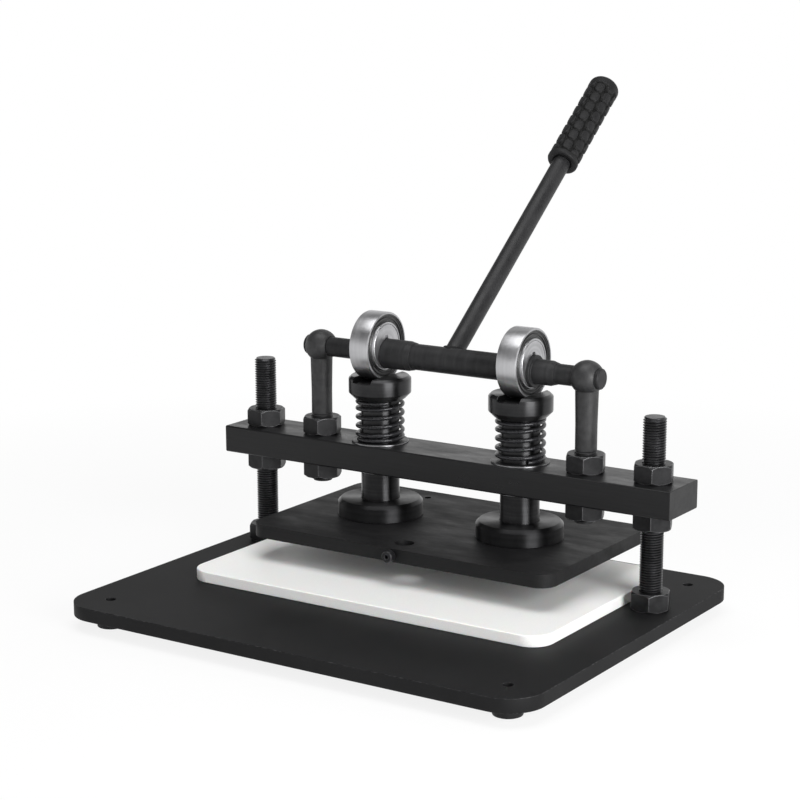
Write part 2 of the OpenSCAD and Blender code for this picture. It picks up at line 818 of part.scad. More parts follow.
module spring(s, start) {
  color("#4a4a4c") translate([s * post_pitch / 2, column_y, 0]) rotate([0, 0, start])
    polyhedron(coil_points, coil_faces, convexity = spring_rings);
}

module spring_left() { spring(-1, coil_start_left); }
module spring_right() { spring(1, coil_start_right); }

base_plate();
rubber_feet();
cutting_board();
column_left();
column_right();
base_nuts();
column_nuts();
beam();
guide_bush_left();
guide_bush_right();
eye_bolt_left();
eye_bolt_right();
eye_bolt_nuts();
cam_shaft();
cam_left();
cam_right();
cam_key_left();
cam_key_right();
collar_left();
collar_right();
inner_ring_left();
inner_ring_right();
outer_ring_left();
outer_ring_right();
bearing_balls_left();
bearing_balls_right();
ball_cage_left();
ball_cage_right();
bearing_seals_left();
bearing_seals_right();
lever_rod();
lever_weld();
lever_grip();
post_left();
post_right();
post_cap_left();
post_cap_right();
spring_left();
spring_right();
post_flange_left();
post_flange_right();
press_plate();
flange_screws();
clamp_screw();
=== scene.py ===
# A hand lever press for embossing and die-cutting leather, dressed for a studio picture.
# Profiles and places are in millimetres. The camera, the lamps and the floor are given in
# metres, which is also what Blender gets everywhere.
import math

import bmesh
import bpy
from mathutils import Matrix, Vector


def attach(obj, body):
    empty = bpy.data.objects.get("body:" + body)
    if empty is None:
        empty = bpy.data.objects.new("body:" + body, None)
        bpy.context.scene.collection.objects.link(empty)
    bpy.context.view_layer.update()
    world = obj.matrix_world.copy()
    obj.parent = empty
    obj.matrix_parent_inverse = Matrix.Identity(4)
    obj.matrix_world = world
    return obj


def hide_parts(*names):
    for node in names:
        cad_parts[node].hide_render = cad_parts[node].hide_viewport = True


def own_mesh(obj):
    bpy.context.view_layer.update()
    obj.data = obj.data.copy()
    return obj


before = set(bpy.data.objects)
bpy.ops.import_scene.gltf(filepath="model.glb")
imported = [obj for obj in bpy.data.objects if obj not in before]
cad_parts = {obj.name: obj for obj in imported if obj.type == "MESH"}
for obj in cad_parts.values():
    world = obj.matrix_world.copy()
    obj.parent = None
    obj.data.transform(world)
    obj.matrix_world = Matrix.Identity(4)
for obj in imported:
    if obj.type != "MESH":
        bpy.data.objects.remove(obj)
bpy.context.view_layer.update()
bpy.context.scene.view_settings.view_transform = "Standard"

MM = 0.001
# corners that are nearer to each other than this, in metres, are one
MERGE = 1e-6
# in degrees: faces that differ by less than the first are one flat, edges that turn by less
# than the second are shaded smooth, and those that turn by more than the third are rounded
FLAT_ANGLE = 0.5
SMOOTH_ANGLE = 22.0
BEVEL_ANGLE = 35.0
ROUND_STEPS = 128
# in square millimetres: a face larger than the first is flat, and so is one of many corners
# that is larger than the second; every other face is a strip of a round
WALL_AREA = 150.0
FLAT_AREA = 20.0
FLAT_CORNERS = 7

# the press's main places, in millimetres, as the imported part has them
COLUMN_Y = 76.0
COLUMN_X = 204.0
EYE_X = 139.0
POST_X = 74.0
CAM_X = 76.5
BASE_Z = 12.0
BEAM_Z = 111.0
BEAM_TOP = 136.0
BUSH_TOP = 137.5
SHAFT_Z = 218.0
CAM_Z = 224.5
CAP_Z = 176.5
PLATE_TOP = 67.5
POST_Z = 72.5
BENCH_X = 200.5
BENCH_Y = 156.0
SIDES = (("left", -1), ("right", 1))

# ---------------------------------------------------------------- mesh making


def cad_copy(node):
    """The merged mesh of a CAD node: doubled corners joined and flat faces made whole."""
    bm = bmesh.new()
    bm.from_mesh(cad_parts[node].data)
    bmesh.ops.remove_doubles(bm, verts=bm.verts, dist=MERGE)
    bmesh.ops.dissolve_limit(bm, angle_limit=math.radians(FLAT_ANGLE), verts=bm.verts,
                             edges=bm.edges)
    return bm


def soften(bm, width, segments=2, angle=BEVEL_ANGLE):
    """Rounds the edges that are sharper than the angle."""
    limit = math.radians(angle)
    edges = [e for e in bm.edges if e.is_manifold and e.calc_face_angle(0) > limit]
    bmesh.ops.bevel(bm, geom=edges, offset=width * MM, offset_type="OFFSET", affect="EDGES",
                    segments=segments, profile=0.5, material=-1, clamp_overlap=True)
    return bm


def turned(profile, steps=ROUND_STEPS):
    """Turns a line of (radius, station) points about Z; a line that ends where it starts
    makes a ring, and one that ends on the axis is closed there."""
    bm = bmesh.new()
    ring = profile[0] == profile[-1]
    points = profile[:-1] if ring else profile
    verts = [bm.verts.new((r * MM, 0, z * MM)) for r, z in points]
    pairs = list(zip(verts, verts[1:])) + ([(verts[-1], verts[0])] if ring else [])
    edges = [bm.edges.new(pair) for pair in pairs]
    bmesh.ops.spin(bm, geom=verts + edges, cent=(0, 0, 0), axis=(0, 0, 1), dvec=(0, 0, 0),
                   angle=2 * math.pi, steps=steps, use_merge=True)
    bmesh.ops.remove_doubles(bm, verts=bm.verts, dist=MERGE)
    bmesh.ops.recalc_face_normals(bm, faces=bm.faces)
    return bm


def placed(bm, x, y, z, turn=None):
    """Turns a mesh about the origin, then moves it to a place in millimetres."""
    matrix = Matrix.Translation((x * MM, y * MM, z * MM)) @ (turn or Matrix())
    bmesh.ops.transform(bm, matrix=matrix, verts=bm.verts)
    return bm


def joined(*parts):
    """One mesh from several closed ones."""
    bm = bmesh.new()
    for part in parts:
        scratch = bpy.data.meshes.new("scratch")
        part.to_mesh(scratch)
        part.free()
        bm.from_mesh(scratch)
        bpy.data.meshes.remove(scratch)
    return bm


def cut_flat(bm, z, keep_above):
    """Cuts a mesh at a height in millimetres and closes the cut."""
    geom = bm.verts[:] + bm.edges[:] + bm.faces[:]
    bmesh.ops.bisect_plane(bm, geom=geom, dist=MERGE, plane_co=(0, 0, z * MM),
                           plane_no=(0, 0, 1), clear_inner=keep_above,
                           clear_outer=not keep_above)
    rim = [e for e in bm.edges if e.is_boundary]
    bmesh.ops.holes_fill(bm, edges=rim, sides=0)
    return bm


ALONG_X = Matrix.Rotation(math.radians(90), 4, "Y")


def piece(name, bm, body, surface, node, sharp=SMOOTH_ANGLE):
    """Makes the object: smooth faces, crisp edges, its material, body and material slot."""
    bmesh.ops.recalc_face_normals(bm, faces=bm.faces)
    limit = math.radians(sharp)
    for face in bm.faces:
        area = face.calc_area() / MM ** 2
        face.smooth = area < WALL_AREA and (len(face.verts) < FLAT_CORNERS or area < FLAT_AREA)
    for edge in bm.edges:
        edge.smooth = edge.is_manifold and edge.calc_face_angle(0) < limit
    mesh = bpy.data.meshes.new(name)
    bm.to_mesh(mesh)
    bm.free()
    mesh.materials.append(surface)
    thing = bpy.data.objects.new(name, mesh)
    bpy.context.scene.collection.objects.link(thing)
    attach(thing, body)
    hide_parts(node)
    return thing


def dressed(name, node, width, body, surface, segments=2, angle=BEVEL_ANGLE,
            sharp=SMOOTH_ANGLE):
    """A piece that is its CAD node with softened edges."""
    bm = soften(cad_copy(node), width, segments, angle)
    piece(name, bm, body, surface, node, sharp)


# ---------------------------------------------------------------- surfaces


def linear(code):
    """A linear RGBA colour from an sRGB hex code."""
    values = [int(code[i:i + 2], 16) / 255 for i in (1, 3, 5)]
    return [v / 12.92 if v <= 0.04045 else ((v + 0.055) / 1.055) ** 2.4 for v in values] + [1.0]


def add(tree, kind, inputs=None, **settings):
    """Adds a node. An input's value is a number, a colour code, a vector, another node's
    output, or another node, whose first output is then meant."""
    node = tree.nodes.new(kind)
    for key, value in settings.items():
        setattr(node, key, value)
    for key, value in (inputs or {}).items():
        if isinstance(value, bpy.types.Node):
            value = value.outputs[0]
        if isinstance(value, bpy.types.NodeSocket):
            tree.links.new(value, node.inputs[key])
        elif isinstance(value, str):
            node.inputs[key].default_value = linear(value)
        else:
            node.inputs[key].default_value = value
    return node


def new_surface(name):
    """A material and its node tree, which is empty."""
    surface = bpy.data.materials.new(name)
    surface.use_nodes = True
    surface.node_tree.nodes.clear()
    return surface, surface.node_tree


def close(tree, **inputs):
    """The shader and the output, with inputs named by the shader's own words."""
    named = {key.replace("_", " "): value for key, value in inputs.items()}
    shader = add(tree, "ShaderNodeBsdfPrincipled", named)
    add(tree, "ShaderNodeOutputMaterial", {"Surface": shader})


def grain(tree, size, stretch=(1, 1, 1), detail=3.0, rough=0.5, source=None):
    """Noise whose cells are about size millimetres, stretched along the axes by the shares."""
    if source is None:
        source = add(tree, "ShaderNodeTexCoord").outputs["Object"]
    scale = [1 / (size * MM * s) for s in stretch]
    moved = add(tree, "ShaderNodeMapping", {"Vector": source, "Scale": scale})
    return add(tree, "ShaderNodeTexNoise", {"Vector": moved, "Scale": 1.0, "Detail": detail,
                                            "Roughness": rough})


# The two ends that a Map Range node reads from, its inputs 1 and 2. Noise keeps near its
# middle, so a colour or a roughness is spread over that part of it; two noises multiplied
# lie lower.
MIDDLE = {1: 0.35, 2: 0.65}
BROAD = {1: 0.3, 2: 0.7}
UPPER = {1: 0.35, 2: 0.7}
PRODUCT = {1: 0.12, 2: 0.4}


def tinted(tree, pattern, ends, dark, light):
    """The colour from dark to light that a pattern gives between two ends of its values."""
    share = add(tree, "ShaderNodeMapRange", {0: pattern, **ends})
    mix = add(tree, "ShaderNodeMix", {0: share, 6: dark, 7: light}, data_type="RGBA")
    return mix.outputs[2]


def lathe_place(tree, axis, centre):
    """Distance along a turned piece plus distance from its axis, so that lines run round its
    walls and its faces alike. The axis stands upright at centre on either side of the
    machine's middle, or lies along X at the height centre, and both are in the columns' row."""
    place = add(tree, "ShaderNodeTexCoord").outputs["Object"]
    x, y, z = add(tree, "ShaderNodeSeparateXYZ", {0: place}).outputs
    if axis == "Z":
        across, along = add(tree, "ShaderNodeMath", {0: x}, operation="ABSOLUTE"), z
    else:
        across, along = z, x
    flat = add(tree, "ShaderNodeCombineXYZ", {0: across, 1: y})
    radius = add(tree, "ShaderNodeVectorMath", {0: flat, 1: (centre * MM, COLUMN_Y * MM, 0)},
                 operation="DISTANCE")
    total = add(tree, "ShaderNodeMath", {0: radius.outputs["Value"], 1: along})
    return add(tree, "ShaderNodeCombineXYZ", {0: total}).outputs[0]


# a Principled shader's gloss is 0.5 by default; matt paint, scale and rubber have less
COAT_GLOSS = 0.2
ROLLED_GLOSS = 0.25
OXIDE_GLOSS = 0.35
RUBBER_GLOSS = 0.25
ROLLED_DEPTH = 0.018
# edge colours: partly wear, partly painted highlight along the edges
WORN_AND_HIGHLIT_STEEL = "#858587"
RUBBED_AND_HIGHLIT_PAINT = "#5c5c5d"
# the agreement of a rounded normal with the face's own, on flat skin and at an edge that is worn
# and carries painted highlight
FLAT_MATCH = 0.998
EDGE_MATCH = 0.94
# the part of a noise that becomes spots along the edges, where wear and painted highlight show
SPOTS = {1: 0.48, 2: 0.62}


def worn_and_highlit_edges(tree, width, amount):
    """From 0 on flat skin to amount where an edge is nearer than width millimetres."""
    rounded = add(tree, "ShaderNodeBevel", {"Radius": width * MM}, samples=4)
    flat = add(tree, "ShaderNodeNewGeometry").outputs["Normal"]
    match = add(tree, "ShaderNodeVectorMath", {0: rounded, 1: flat}, operation="DOT_PRODUCT")
    return add(tree, "ShaderNodeMapRange", {0: match.outputs["Value"], 1: FLAT_MATCH,
                                            2: EDGE_MATCH, 3: 0.0, 4: amount})


def powder_coat():
    """Sprayed and baked black paint: an even, fine orange peel with hardly any gloss, and
    grey in spots along its edges, partly wear and partly painted highlight."""
    surface, tree = new_surface("black powder coat, sprayed and baked")
    peel = grain(tree, 1.1, detail=2.0)
    cloud = grain(tree, 70, detail=4.0, rough=0.6)
    speck = grain(tree, 0.5, detail=1.0)
    patch = grain(tree, 2.5, detail=4.0, rough=0.7)
    paint = tinted(tree, cloud, MIDDLE, "#0e0e0f", "#151516")
    spots = add(tree, "ShaderNodeMapRange", {0: patch, **SPOTS})
    # painted highlight and wear: edges turn grey in spots
    worn_and_lit = worn_and_highlit_edges(tree, width=1.2, amount=0.6)
    rubbed_and_lit = add(tree, "ShaderNodeMath", {0: worn_and_lit, 1: spots}, operation="MULTIPLY")
    colour = add(tree, "ShaderNodeMix", {0: rubbed_and_lit, 6: paint, 7: RUBBED_AND_HIGHLIT_PAINT},
                 data_type="RGBA")
    rough = add(tree, "ShaderNodeMapRange", {0: speck, **BROAD, 3: 0.58, 4: 0.7})
    fine = add(tree, "ShaderNodeBump", {"Height": speck, "Distance": 0.006 * MM})
    skin = add(tree, "ShaderNodeBump", {"Height": peel, "Distance": 0.02 * MM, "Normal": fine})
    close(tree, Base_Color=colour.outputs[2], Roughness=rough, Specular_IOR_Level=COAT_GLOSS,
          Normal=skin)
    return surface


def rolled_black(name, dark, light, across, along, rough):
    """Rolled bar, blackened: streaks along the rolling direction, cloudy scale, soft gloss.
    A streak is about across millimetres wide and along millimetres long."""
    surface, tree = new_surface(name)
    streak = grain(tree, across, (along / across, 1, 1), detail=4.0, rough=0.6)
    cloud = grain(tree, 22, (2.5, 1, 1), detail=6.0, rough=0.7)
    pit = grain(tree, 0.7, detail=2.0)
    tone = add(tree, "ShaderNodeMath", {0: streak, 1: cloud}, operation="MULTIPLY")
    dull = add(tree, "ShaderNodeMapRange", {0: cloud, **MIDDLE, 3: rough - 0.1, 4: rough + 0.1})
    pits = add(tree, "ShaderNodeBump", {"Height": pit, "Distance": 0.008 * MM})
    skin = add(tree, "ShaderNodeBump", {"Height": streak, "Distance": ROLLED_DEPTH * MM,
                                        "Normal": pits})
    close(tree, Base_Color=tinted(tree, tone, PRODUCT, dark, light), Roughness=dull,
          Specular_IOR_Level=ROLLED_GLOSS, Normal=skin)
    return surface


# how far a lathe's lines spread the light across themselves, on walls and on faced discs
TURNED_SPREAD = 0.88
FACED_SPREAD = 0.35
# turns the spread so that it runs across the lines
QUARTER_TURN = 0.25
# a broad ring of tone is this many lines wide
BROAD_LINES = 14
# the colour painted as shade on a face under a spring, which is also made not metallic, and the
# height over which that painted shade begins
SPRING_SEAT_SHADE = "#19191a"
SEAT_SHADE_FADE = 0.1
# the axis of the turned pieces, and where it lies
ON_POST = ("Z", POST_X)
ON_SHAFT = ("X", SHAFT_Z)
ON_CAM = ("X", CAM_Z)


def turned_steel(name, dark, light, lathe, metal, rough, line, depth, spread=TURNED_SPREAD,
                 gloss=0.5, seat_shade_above=None):
    """Lathe-turned steel: fine lines round the axis from the tool, with light play in them.
    The lines are line millimetres apart, which is coarser than real ones, so that they show.
    Faces above a given height, in millimetres, are painted dark as the shade under a spring, and
    are not metallic."""
    surface, tree = new_surface(name)
    place = lathe_place(tree, *lathe)
    fine = grain(tree, line, detail=3.0, rough=0.7, source=place)
    broad = grain(tree, line * BROAD_LINES, detail=2.0, source=place)
    cloud = grain(tree, 14, detail=4.0, rough=0.6)
    tone = add(tree, "ShaderNodeMath", {0: broad, 1: cloud}, operation="MULTIPLY")
    colour = tinted(tree, tone, PRODUCT, dark, light)
    # painted shade: faces above the given height turn dark, as under the spring that sits on
    # them
    if seat_shade_above is not None:
        spot = add(tree, "ShaderNodeTexCoord").outputs["Object"]
        height = add(tree, "ShaderNodeSeparateXYZ", {0: spot}).outputs["Z"]
        top = add(tree, "ShaderNodeMapRange", {0: height, 1: (seat_shade_above - SEAT_SHADE_FADE) * MM,
                                               2: seat_shade_above * MM})
        colour = add(tree, "ShaderNodeMix", {0: top, 6: colour, 7: SPRING_SEAT_SHADE},
                     data_type="RGBA").outputs[2]
        metal = add(tree, "ShaderNodeMapRange", {0: top, 3: metal, 4: 0.0})
    dull = add(tree, "ShaderNodeMapRange", {0: cloud, **BROAD, 3: rough - 0.05,
                                            4: rough + 0.07})
    lines = add(tree, "ShaderNodeBump", {"Height": fine, "Distance": depth * MM})
    round_axis = add(tree, "ShaderNodeTangent", direction_type="RADIAL", axis=lathe[0])
    close(tree, Base_Color=colour, Metallic=metal, Roughness=dull, Specular_IOR_Level=gloss,
          Anisotropic=spread, Anisotropic_Rotation=QUARTER_TURN, Tangent=round_axis,
          Normal=lines)
    return surface


def forged_black():
    """Drop-forged and blackened steel: uneven skin with shallow dents, and no tool marks."""
    surface, tree = new_surface("forged steel, blackened")
    dent = grain(tree, 6, detail=3.0)
    skin = grain(tree, 0.8, detail=3.0, rough=0.6)
    rough = add(tree, "ShaderNodeMapRange", {0: skin, **BROAD, 3: 0.42, 4: 0.6})
    fine = add(tree, "ShaderNodeBump", {"Height": skin, "Distance": 0.02 * MM})
    dents = add(tree, "ShaderNodeBump", {"Height": dent, "Distance": 0.18 * MM, "Normal": fine})
    close(tree, Base_Color=tinted(tree, dent, MIDDLE, "#1d1d1e", "#2c2c2d"), Roughness=rough,
          Normal=dents)
    return surface


def oxide_black(name, dark, light, rough, metal=0.25, wear_and_highlight=0.0):
    """Chemically blackened steel of bought fasteners: even, a little oily, with lighter corners
    that are partly wear and partly painted highlight.
    """
    surface, tree = new_surface(name)
    cloud = grain(tree, 9, detail=5.0, rough=0.65)
    skin = grain(tree, 0.35, detail=2.0)
    colour = tinted(tree, cloud, UPPER, dark, light)
    # lighter edges: partly wear, partly painted highlight
    if wear_and_highlight:
        worn_and_lit = worn_and_highlit_edges(tree, width=0.9, amount=wear_and_highlight)
        colour = add(tree, "ShaderNodeMix", {0: worn_and_lit, 6: colour, 7: WORN_AND_HIGHLIT_STEEL},
                     data_type="RGBA").outputs[2]
    dull = add(tree, "ShaderNodeMapRange", {0: cloud, **BROAD, 3: rough - 0.06,
                                            4: rough + 0.08})
    fine = add(tree, "ShaderNodeBump", {"Height": skin, "Distance": 0.008 * MM})
    close(tree, Base_Color=colour, Metallic=metal, Roughness=dull,
          Specular_IOR_Level=OXIDE_GLOSS, Normal=fine)
    return surface


def drawn_wire():
    """Oil-tempered spring wire: near black and glossy, with faint scale."""
    surface, tree = new_surface("spring wire, oil-tempered")
    scale = grain(tree, 2.2, detail=5.0, rough=0.65)
    skin = grain(tree, 0.4, detail=2.0)
    rough = add(tree, "ShaderNodeMapRange", {0: scale, **BROAD, 3: 0.24, 4: 0.36})
    fine = add(tree, "ShaderNodeBump", {"Height": skin, "Distance": 0.006 * MM})
    close(tree, Base_Color=tinted(tree, scale, MIDDLE, "#1f1f21", "#303033"), Metallic=0.4,
          Roughness=rough, Normal=fine)
    return surface


# the value that a rubber piece may carry at its points, from 0 on a pad to 1 in a groove; it
# sets how much painted shade the colour takes there
GROOVE = "groove"
GROOVE_PAINTED_SHADE = "#040404"


def rubber(name, dark, light, rough, size, gloss=RUBBER_GLOSS):
    """Moulded rubber: dull, with the fine pitting of its mould, size millimetres wide, and a
    trace of bloom. Its grooves are darkened with painted shade."""
    surface, tree = new_surface(name)
    bloom = grain(tree, 8, detail=4.0, rough=0.6)
    pit = grain(tree, size, detail=2.0)
    groove = add(tree, "ShaderNodeAttribute", attribute_name=GROOVE).outputs["Fac"]
    skin = tinted(tree, bloom, UPPER, dark, light)
    # painted shade: the colour turns near black in the grooves
    colour = add(tree, "ShaderNodeMix", {0: groove, 6: skin, 7: GROOVE_PAINTED_SHADE},
                 data_type="RGBA")
    dull = add(tree, "ShaderNodeMapRange", {0: pit, **BROAD, 3: rough - 0.07, 4: rough + 0.07})
    pits = add(tree, "ShaderNodeBump", {"Height": pit, "Distance": 0.03 * MM})
    close(tree, Base_Color=colour.outputs[2], Roughness=dull, Specular_IOR_Level=gloss,
          Normal=pits)
    return surface


def nylon():
    """Sawn and milled white nylon: waxy, slightly warm, with faint cutter sweeps."""
    surface, tree = new_surface("white nylon, milled")
    sweep = grain(tree, 3, (12, 1, 1), detail=3.0)
    scuff = grain(tree, 0.9, detail=3.0)
    rough = add(tree, "ShaderNodeMapRange", {0: sweep, **BROAD, 3: 0.38, 4: 0.5})
    fine = add(tree, "ShaderNodeBump", {"Height": scuff, "Distance": 0.01 * MM})
    sweeps = add(tree, "ShaderNodeBump", {"Height": sweep, "Distance": 0.01 * MM,
                                          "Normal": fine})
    close(tree, Base_Color=tinted(tree, scuff, MIDDLE, "#f4f4f2", "#fbfbf9"), Roughness=rough,
          Subsurface_Weight=0.12, Subsurface_Scale=0.004, Normal=sweeps)
    return surface


def plain_metal(name, dark, light, rough, size):
    """Bright metal of small inner parts: rolled or lapped, with a satin grain that is size
    millimetres wide and hardly seen."""
    surface, tree = new_surface(name)
    satin = grain(tree, size, detail=3.0)
    dull = add(tree, "ShaderNodeMapRange", {0: satin, **BROAD, 3: rough, 4: rough + 0.1})
    fine = add(tree, "ShaderNodeBump", {"Height": satin, "Distance": 0.003 * MM})
    close(tree, Base_Color=tinted(tree, satin, MIDDLE, dark, light), Metallic=1.0,
          Roughness=dull, Normal=fine)
    return surface


COAT = powder_coat()
BAR = rolled_black("rolled bar, blackened", "#111112", "#1c1c1d", across=0.9, along=60,
                   rough=0.36)
PLATE = rolled_black("rolled plate, blackened", "#0a0a0b", "#19191a", across=0.8, along=90,
                     rough=0.58)
ROD = rolled_black("drawn rod, blackened", "#202021", "#2c2c2d", across=1.2, along=5,
                   rough=0.45)
FORGED = forged_black()
# the nuts' and screws' lighter edges are partly wear and partly painted highlight
NUT = oxide_black("steel nut, blackened", "#1f1f20", "#2e2e2f", rough=0.42, metal=0.7,
                  wear_and_highlight=0.8)
THREAD = oxide_black("rolled thread, blackened", "#333334", "#48484a", rough=0.34, metal=0.9)
SCREW = oxide_black("socket screw, blackened", "#1a1a1b", "#28282a", rough=0.34, metal=0.4,
                    wear_and_highlight=0.4)
POST = turned_steel("bare steel post, turned", "#343435", "#484849", ON_POST, metal=1.0,
                    rough=0.36, line=0.22, depth=0.004)
# the bush's top face, under its spring, carries painted shade
BUSH = turned_steel("steel bush, turned", "#8c8c8e", "#aaaaac", ON_POST, metal=1.0, rough=0.4,
                    line=0.3, depth=0.004, gloss=0.2, seat_shade_above=BUSH_TOP - 0.2)
CAP = turned_steel("steel cap, turned and blackened", "#303031", "#414142", ON_POST, metal=0.9,
                   rough=0.35, line=0.3, depth=0.005)
FLANGE = turned_steel("steel flange, turned and blackened", "#222223", "#313132", ON_POST,
                      metal=0.9, rough=0.4, line=0.35, depth=0.005)
SHAFT = turned_steel("shaft steel, turned and blackened", "#222223", "#313132", ON_SHAFT,
                     metal=0.1, rough=0.52, line=0.3, depth=0.003, spread=0.3, gloss=0.2)
RACE = turned_steel("bearing steel, ground", "#b0b0b2", "#c0c0c2", ON_CAM, metal=1.0,
                    rough=0.4, line=0.16, depth=0.001, spread=0.7)
CAM = turned_steel("cam steel, faced on a lathe", "#a6a6a8", "#c8c8ca", ON_CAM, metal=1.0,
                   rough=0.42, line=0.25, depth=0.003, spread=FACED_SPREAD)
WIRE = drawn_wire()
SEAL = rubber("nitrile seal, moulded", "#131314", "#1c1c1d", rough=0.32, size=0.4, gloss=0.7)
GRIP = rubber("rubber grip, moulded", "#151516", "#1f1f20", rough=0.56, size=0.5)
FOOT = rubber("rubber foot, moulded", "#161617", "#202021", rough=0.6, size=0.6)
NYLON = nylon()
BALL = plain_metal("ball steel, lapped", "#cfcfd0", "#dededf", rough=0.06, size=0.5)
BRASS = plain_metal("cage brass, milled", "#a8863f", "#c09d55", rough=0.28, size=0.4)
KEY = plain_metal("key steel, drawn", "#8c8c8e", "#a5a5a7", rough=0.3, size=0.4)

# ---------------------------------------------------------------- base

dressed("base", "base_plate", 0.9, "base", COAT, segments=3)
dressed("board", "cutting_board", 1.0, "board", NYLON, segments=3)

FOOT_STEPS = 96


def foot_ring():
    """A rubber ring with a rolled lower lip and a fine moulding line."""
    return turned([(4.5, 0.7), (5.2, 0), (11.2, 0), (12.0, 0.35), (12.35, 1.1), (12.8, 5.4),
                   (12.98, 5.6), (12.9, 5.9), (13.35, 11.3), (13.2, 12), (4.5, 12),
                   (4.5, 0.7)], FOOT_STEPS)


feet = [placed(foot_ring(), sx * BENCH_X, sy * BENCH_Y, 0) for sx in (-1, 1) for sy in (-1, 1)]
piece("feet", joined(*feet), "base", FOOT, "rubber_feet")

# ---------------------------------------------------------------- threads, nuts and eye bolts

THREAD_R = 10.0
# a stock rod this thick has a pitch of 2.5 mm; the photograph's threads look finer
THREAD_PITCH = 2.25
THREAD_STEPS = 48
# a metric thread's depth, crest and flank, as shares of its pitch
THREAD_SHARE = 0.6134
CREST = 0.125
FLANK = 0.354
ROD_CHAMFER = 1.6


def threaded(z0, z1):
    """A right-hand thread: one turn of its outline is swept round the axis and stacked, the
    ends are cut flat, and the crests are turned down towards the ends."""
    p = THREAD_PITCH
    root = THREAD_R - THREAD_SHARE * p
    low = z0 - p
    turns = math.ceil((z1 - z0) / p) + 2
    line = [(THREAD_R, 0), (THREAD_R, CREST * p), (root, (CREST + FLANK) * p),
            (root, (1 - FLANK) * p), (THREAD_R, p)]
    one = bmesh.new()
    verts = [one.verts.new((r * MM, 0, (low + z) * MM)) for r, z in line]
    edges = [one.edges.new(pair) for pair in zip(verts, verts[1:])]
    bmesh.ops.spin(one, geom=verts + edges, cent=(0, 0, 0), axis=(0, 0, 1),
                   dvec=(0, 0, p * MM / THREAD_STEPS), angle=2 * math.pi, steps=THREAD_STEPS,
                   use_merge=False)
    scratch = bpy.data.meshes.new("scratch")
    bm = bmesh.new()
    for _ in range(turns):
        one.to_mesh(scratch)
        bm.from_mesh(scratch)
        bmesh.ops.translate(one, verts=one.verts, vec=(0, 0, p * MM))
    one.free()
    bpy.data.meshes.remove(scratch)
    bmesh.ops.remove_doubles(bm, verts=bm.verts, dist=5 * MERGE)
    cut_flat(bm, z0, True)
    cut_flat(bm, z1, False)
    for vert in bm.verts:
        end = min(vert.co.z / MM - z0, z1 - vert.co.z / MM)
        most = (THREAD_R - ROD_CHAMFER + max(end, 0)) * MM
        reach = math.hypot(vert.co.x, vert.co.y)
        if reach > most:
            vert.co.x *= most / reach
            vert.co.y *= most / reach
    return bm


COLUMN_TOPS = {"left": 200.0, "right": 192.0}
EYE_FOOT = BEAM_Z - 20
EYE_THREAD_TOP = BEAM_TOP + 20
# the forged stem starts this far inside the thread's upper end
STEM_LAP = 1

for side, sign in SIDES:
    rod = placed(threaded(BASE_Z, COLUMN_TOPS[side]), sign * COLUMN_X, COLUMN_Y, 0)
    piece(f"column_{side}_thread", rod, "base", THREAD, f"column_{side}")
    eye = cut_flat(cad_copy(f"eye_bolt_{side}"), EYE_THREAD_TOP - STEM_LAP, True)
    soften(eye, 0.7, segments=3, angle=30)
    stem = placed(threaded(EYE_FOOT, EYE_THREAD_TOP), sign * EYE_X, COLUMN_Y, 0)
    piece(f"eye_{side}", joined(eye, stem), "beam", FORGED, f"eye_bolt_{side}")

for name, node, body in (("nuts_base", "base_nuts", "base"),
                         ("nuts_column", "column_nuts", "beam"),
                         ("nuts_eye", "eye_bolt_nuts", "beam")):
    dressed(name, node, 0.35, body, NUT, angle=40, sharp=26)

# ---------------------------------------------------------------- beam, bushes and springs

dressed("crossbar", "beam", 0.45, "beam", BAR, angle=30)


def bush():
    """A bush with a thin flange that the spring sits on, and rounded mouths for the post."""
    return turned([(17.6, 109.6), (18.0, 109.1), (20.9, 109.0), (21.4, 109.5), (21.5, 136),
                   (25.7, 136), (25.95, 136.25), (26.0, 136.7), (25.95, 137.15), (25.6, 137.5),
                   (18.1, 137.5), (17.6, 137.0), (17.6, 109.6)])


SPRING_R = 20.6
WIRE_R = 1.9
WIRE_SIDES = 16
SPRING_STEPS = 40
SPRING_TURNS = 5.25
# heights of the wire's middle at its two ends
SPRING_LOW = 139.35
SPRING_HIGH = 174.65
# the ground ends stop this far from the bush and the cap
SPRING_SEAT = 0.15
# the rise in a turn near the ends, and how many turns rise so slowly
SLOW_RISE = 4.3
LOW_TURNS = 1.1
HIGH_TURNS = 0.8
# where round the post each wire starts, in degrees
SPRING_STARTS = {"left": 233, "right": 319}


def spring_height(turn):
    """Height of the wire's middle: slow over the end turns, steady between them."""
    low_end = SPRING_LOW + SLOW_RISE * LOW_TURNS
    high_start = SPRING_HIGH - SLOW_RISE * HIGH_TURNS
    if turn < LOW_TURNS:
        return SPRING_LOW + SLOW_RISE * turn
    if turn > SPRING_TURNS - HIGH_TURNS:
        return SPRING_HIGH - SLOW_RISE * (SPRING_TURNS - turn)
    share = (turn - LOW_TURNS) / (SPRING_TURNS - LOW_TURNS - HIGH_TURNS)
    return low_end + (high_start - low_end) * share


